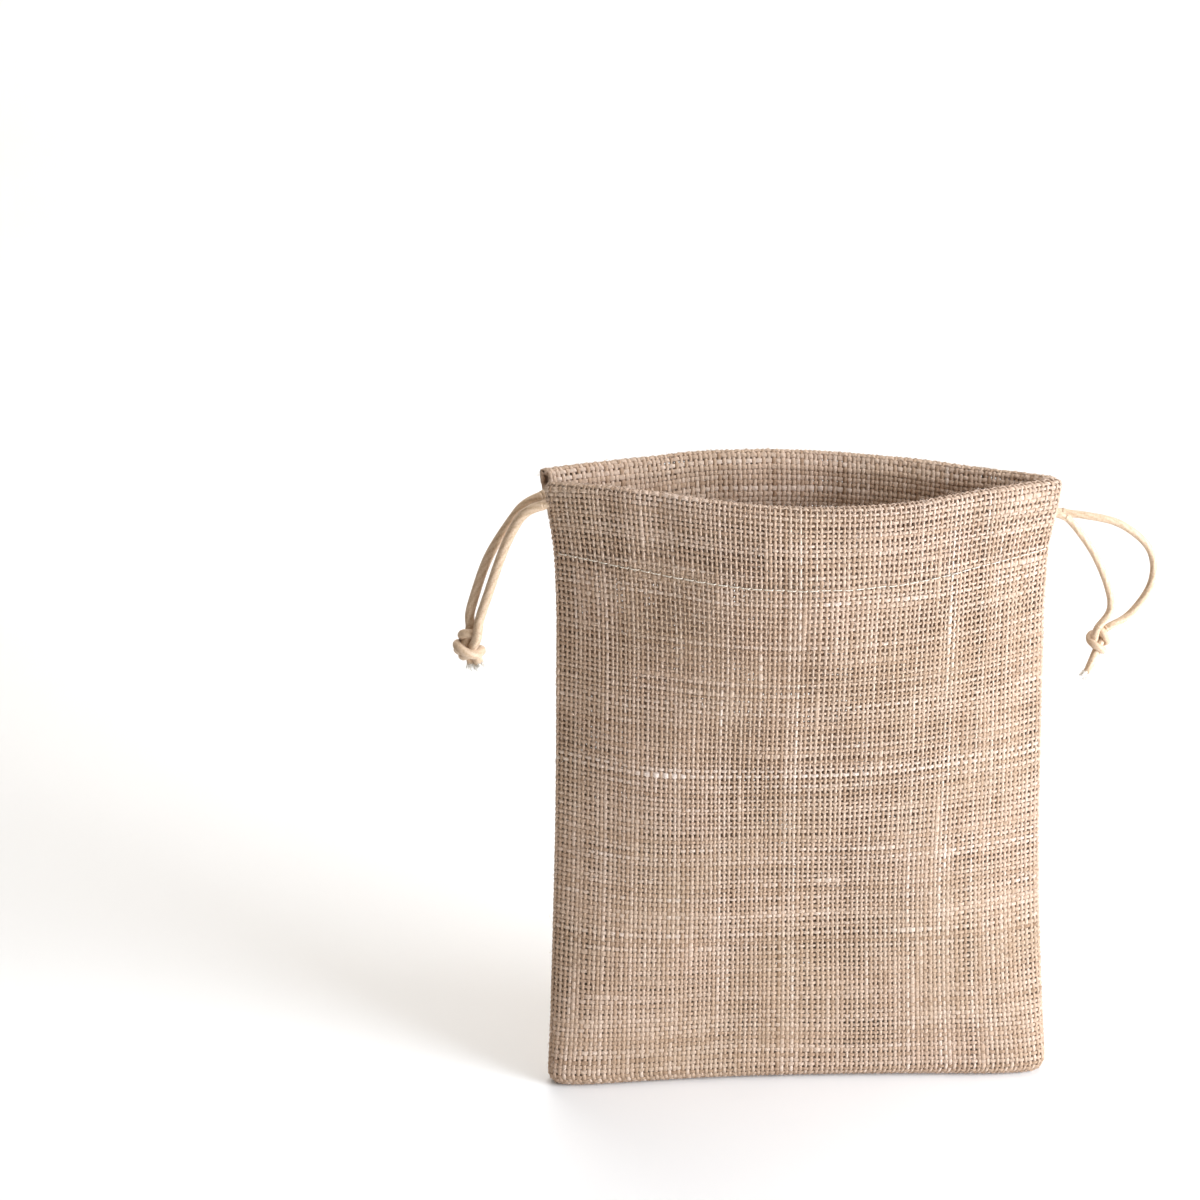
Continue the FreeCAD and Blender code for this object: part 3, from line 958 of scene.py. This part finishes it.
def loose_overhand(radius):
    """Two lines side by side, hanging down through a loosely tied overhand knot."""
    t = np.linspace(2.0, -2.0, 240)
    knot = 2.57 * radius * np.stack([t ** 3 - 3 * t, t ** 4 - 4 * t ** 2, t ** 5 / 5 - 2 * t], axis=1)
    ends = []
    for tip, inside, up in ((knot[0], knot[1], 1), (knot[-1], knot[-2], -1)):
        lead = tip + unit(tip - inside) * 4.3 * radius
        above = lead * [0.3, 0.3, 1.0] + [0, 0, 7 * radius * up]
        ends.append([[0, 0, tip[2] + 24 * radius * up], above, lead])
    line = np.vstack([ends[0], knot, ends[1][::-1]])
    line = line_through(line, radius / KNOT_CORD, 4)
    aside = carried_normals(line, (1.0, 0.0, 0.0)) * radius * 1.05
    return np.stack([line + aside, line - aside])


def pull_tight(lines, radius):
    """Pulls the ends of the lines apart until the knot is tight. Many small corrections hold
    the spacing of the points and keep the lines about their own thickness apart."""
    count = lines.shape[1]
    points = lines.reshape(-1, 3).copy()
    strand, place = np.divmod(np.arange(len(points)), count)
    first, second = np.triu_indices(len(points), 1)
    apart = (strand[first] != strand[second]) | (second - first > 4)
    first, second = first[apart], second[apart]
    links = np.flatnonzero(place[:-1] < count - 1)
    links = (links[place[links] % 2 == 0], links[place[links] % 2 == 1])
    length = 0.985 * radius / KNOT_CORD
    rate = 0.057 * radius
    pulls, settlings, stiffness = 330, 20, 0.35
    top, bottom = place < 2, place > count - 3
    for _ in range(pulls):
        points[top, 2] += rate
        points[bottom, 2] -= rate
        held = points[top | bottom].copy()
        close = ((points[first] - points[second]) ** 2).sum(1) < (2 * radius + 3 * rate + 0.8) ** 2
        one, other = first[close], second[close]
        for _ in range(settlings):
            for link in links:
                gap = points[link + 1] - points[link]
                shift = gap * (0.5 - 0.5 * length / np.linalg.norm(gap, axis=1)[:, None])
                points[link] += shift
                points[link + 1] -= shift
            rows = points.reshape(-1, count, 3)
            rows[:, 1:-1] += stiffness * ((rows[:, :-2] + rows[:, 2:]) / 2 - rows[:, 1:-1])
            gap = points[one] - points[other]
            distance = np.linalg.norm(gap, axis=1)
            touch = distance < 2 * radius
            push = gap[touch] / distance[touch, None] * (radius - distance[touch, None] / 2)
            moves, hits = np.zeros_like(points), np.zeros(len(points))
            np.add.at(moves, one[touch], push)
            np.add.at(moves, other[touch], -push)
            np.add.at(hits, one[touch], 1)
            np.add.at(hits, other[touch], 1)
            points += moves / np.maximum(1, 0.6 * hits)[:, None]
            points[top | bottom] = held
    tight = points.reshape(-1, count, 3)
    return tight - tight[:, count // 2 - 12:count // 2 + 12].mean(axis=(0, 1))


TIED = pull_tight(loose_overhand(KNOT_CORD), KNOT_CORD)


def placed_knot(centre, radius, turn, lean, stub):
    """The tied knot at a size and place: turned about its length, leaned over, and cut short."""
    scale = radius / KNOT_CORD
    turned = np.array(Matrix.Rotation(lean, 3, "Y") @ Matrix.Rotation(turn, 3, "Z"))
    foot, head = KNOT_SPAN
    lines = []
    for line in TIED:
        kept = line[(line[:, 2] < head) & (line[:, 2] > foot - stub)]
        lines.append(kept @ turned.T * scale + centre)
    return lines


def frayed_end(tubes, line, radius, rng, count=110, length=2.9):
    """Loose cotton fibres that fan out of a cut end."""
    tip, along = line[-1], unit(line[-1] - line[-3])
    side = unit(np.cross(along, [0.3, 1.0, 0.2]))
    other = np.cross(along, side)
    angle = rng.uniform(0, 2 * math.pi, (count, 1))
    out = np.sqrt(rng.random((count, 1)))
    away = np.cos(angle) * side + np.sin(angle) * other
    t = np.linspace(0, 1, 5)[None, :, None]
    reach = (length * rng.uniform(0.45, 1.1, (count, 1)))[:, :, None]
    fan = away[:, None, :] * (out * radius)[:, :, None]
    curl = rng.normal(0, 0.25, (count, 1, 3)) * t ** 2
    lines = tip + fan * (1 + 0.5 * t) + along * (reach * t - 0.5) + curl * reach
    thin = np.broadcast_to(0.14 * (1.2 - 0.6 * t[:, :, 0]), (count, 5))
    tubes.add([(lines, np.broadcast_to(away[:, None, :], lines.shape))], thin, thin, sides=4)


def cord(name, end, radius, starts, paths, knot_step, turn, lean, stub):
    """One drawcord: its run in the casings, its two hanging strands, their knot and cut ends."""
    flex = FLEX[end]
    centre = flex + np.array([end * knot_step[0], 0.0, -knot_step[1]])
    knots = placed_knot(centre, SQUEEZED * radius, turn, lean, stub)
    knots.sort(key=lambda tied: end * tied[0][0])
    strands = []
    for path in paths:
        strands.append(flex + np.array([[end * out, y, -down] for out, down, y in path]))
    tail, knot, fray = Tubes(), Tubes(), Tubes()
    rng = np.random.default_rng(77 + end)
    for strand, tied, start in zip(strands, knots, starts):
        before = flex + np.array([end * start[0], start[2], -start[1]])
        line = line_through(np.vstack([before, strand, tied]), 0.7, 14)
        first = np.linalg.norm(line - strand[0], axis=1).argmin()
        split = np.linalg.norm(line - tied[0], axis=1).argmin()
        normals = carried_normals(line, (0.0, 1.0, 0.3))
        hang, tie = slice(max(0, first - 1), split + 2), slice(split, None)
        tail.add([(line[None, hang], normals[None, hang])], radius, radius, sides=12)
        knot.add([(line[None, tie], normals[None, tie])], radius, radius, sides=12)
        frayed_end(fray, line, radius, rng)
    body = name + "_tail"
    wraps, ends = knot.build(name + "_knot_wraps"), fray.build(name + "_frayed_ends")
    dress(wraps, body, CORD_SKIN, "cotton_cord", name + "_cord_knot")
    dress(ends, body, CORD_FIBRE, "cord_core", name + "_cord_core")
    hanging = dress(tail.build(name + "_strands"), None, CORD_SKIN, "cotton_cord", name + "_cord_tail")
    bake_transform(hanging)
    shapes = []
    for pose in (OPEN, DRAWN):
        line = run_line(end, [strand[:2] for strand in strands], pose)
        shapes.append((line[None], carried_normals(line)[None]))
    run = Tubes().add(shapes, radius, radius, sides=12).build(name + "_run")
    dress(run, name + "_draw", CORD_SKIN, "cotton_cord", name + "_drawcord")


# Each strand's path is (outward, down, depth) from the flex point, and so is the point before it.
cord(
    "left", LEFT, 1.85,
    starts=[(-6.0, 0.0, -3.2), (-6.0, -0.6, 6.5)],
    paths=[
        [
            (-3.0, 0.6, -3.0), (1.3, 2.2, -2.8), (5.3, 6.0, -2.5),
            (11.3, 18.0, -2.1), (17.7, 36.1, -1.6), (21.4, 47.0, -1.5),
        ],
        [
            (-3.0, -0.3, 5.5), (2.8, 2.3, 4.4), (6.3, 5.8, 3.7),
            (16.9, 22.0, 2.9), (23.4, 39.6, 2.0), (25.2, 47.0, 1.5),
        ],
    ],
    knot_step=(25.3, 57.0), turn=1.5 * math.pi, lean=0.0, stub=0.6,
)
cord(
    "right", RIGHT, 1.45,
    starts=[(-6.0, 0.4, -4.0), (-6.0, 0.6, 3.0)],
    paths=[
        [
            (-3.0, 2.6, -3.8), (-0.2, 5.5, -3.6), (8.0, 17.2, -2.9),
            (14.2, 30.8, -2.1), (16.1, 41.0, -1.4),
        ],
        [
            (-3.0, 3.0, 2.9), (5.3, 4.2, 2.7), (18.7, 7.8, 2.3),
            (30.3, 18.0, 2.0), (31.7, 31.2, 1.7), (24.0, 44.0, 1.4),
        ],
    ],
    knot_step=(12.9, 53.9), turn=math.pi, lean=0.45, stub=8.5,
)


# ---- Stage ----
def floor():
    """A pale floor that curves up into a pale wall far behind."""
    reach, radius, steps = 3.0, 1.5, 16
    line = [(-reach, 0.0)]
    for k in range(steps + 1):
        turn = math.pi / 2 * k / steps
        line.append((reach - radius + radius * math.sin(turn), radius * (1 - math.cos(turn))))
    line.append((reach, reach * 1.5))
    points = np.array([(x, y, z) for y, z in line for x in (-4.0, 4.0)])
    quads = np.array([(2 * k, 2 * k + 1, 2 * k + 3, 2 * k + 2) for k in range(len(line) - 1)])
    sweep = make_mesh("floor", points / MM, quads)
    shader = Shader("pale_floor")
    tint = shader.ramp(shader.noise(3.0), (0.3, srgb(249, 248, 246)), (0.7, srgb(252, 251, 250)))
    shader.settle(Base_Color=tint, Roughness=0.6)
    sweep.data.materials.append(shader.material)


def lamp(name, place, aim, size, power, colour):
    data = bpy.data.lights.new(name, "AREA")
    data.shape = "DISK"
    data.size = size
    data.energy = power
    data.color = colour
    made = bpy.data.objects.new(name, data)
    made.location = place
    made.rotation_euler = (Vector(aim) - Vector(place)).to_track_quat("-Z", "Y").to_euler()
    bpy.context.scene.collection.objects.link(made)


def camera():
    """A metre away and twenty-one degrees up, with the pouch low and right of the centre."""
    azimuth, elevation, roll = math.radians(-0.8), math.radians(21.19), math.radians(-0.8)
    aim, distance = Vector((-0.0765, 0.0, 0.2038)), 1.005
    back = Vector((
        math.sin(azimuth) * math.cos(elevation),
        -math.cos(azimuth) * math.cos(elevation),
        math.sin(elevation),
    ))
    data = bpy.data.cameras.new("camera")
    data.sensor_width = 36.0
    data.lens = 79.83
    made = bpy.data.objects.new("camera", data)
    made.location = aim + back * distance
    made.rotation_mode = "QUATERNION"
    made.rotation_quaternion = Quaternion(back, roll) @ (-back).to_track_quat("-Z", "Y")
    bpy.context.scene.collection.objects.link(made)
    bpy.context.scene.camera = made


def studio():
    """A dim warm room: a soft lamp low on the right, one overhead, and a lit backdrop."""
    world = bpy.data.worlds.new("studio")
    world.use_nodes = True
    room = world.node_tree.nodes["Background"].inputs
    room["Color"].default_value = (1.0, 0.93, 0.84, 1)
    room["Strength"].default_value = 0.24
    bpy.context.scene.world = world
    lamp("key", (1.02, -0.60, 0.44), (0, 0, 0.12), 0.8, 28, (0.90, 0.98, 1.08))
    lamp("overhead", (0.1, 0.10, 1.6), (0, 0, 0), 1.4, 9, (1.0, 0.97, 0.93))
    lamp("backdrop", (0, 1.2, 2.3), (0, 2.6, 0.4), 1.5, 40, (1, 1, 1))


floor()
studio()
camera()
bpy.context.scene.view_settings.view_transform = "Standard"
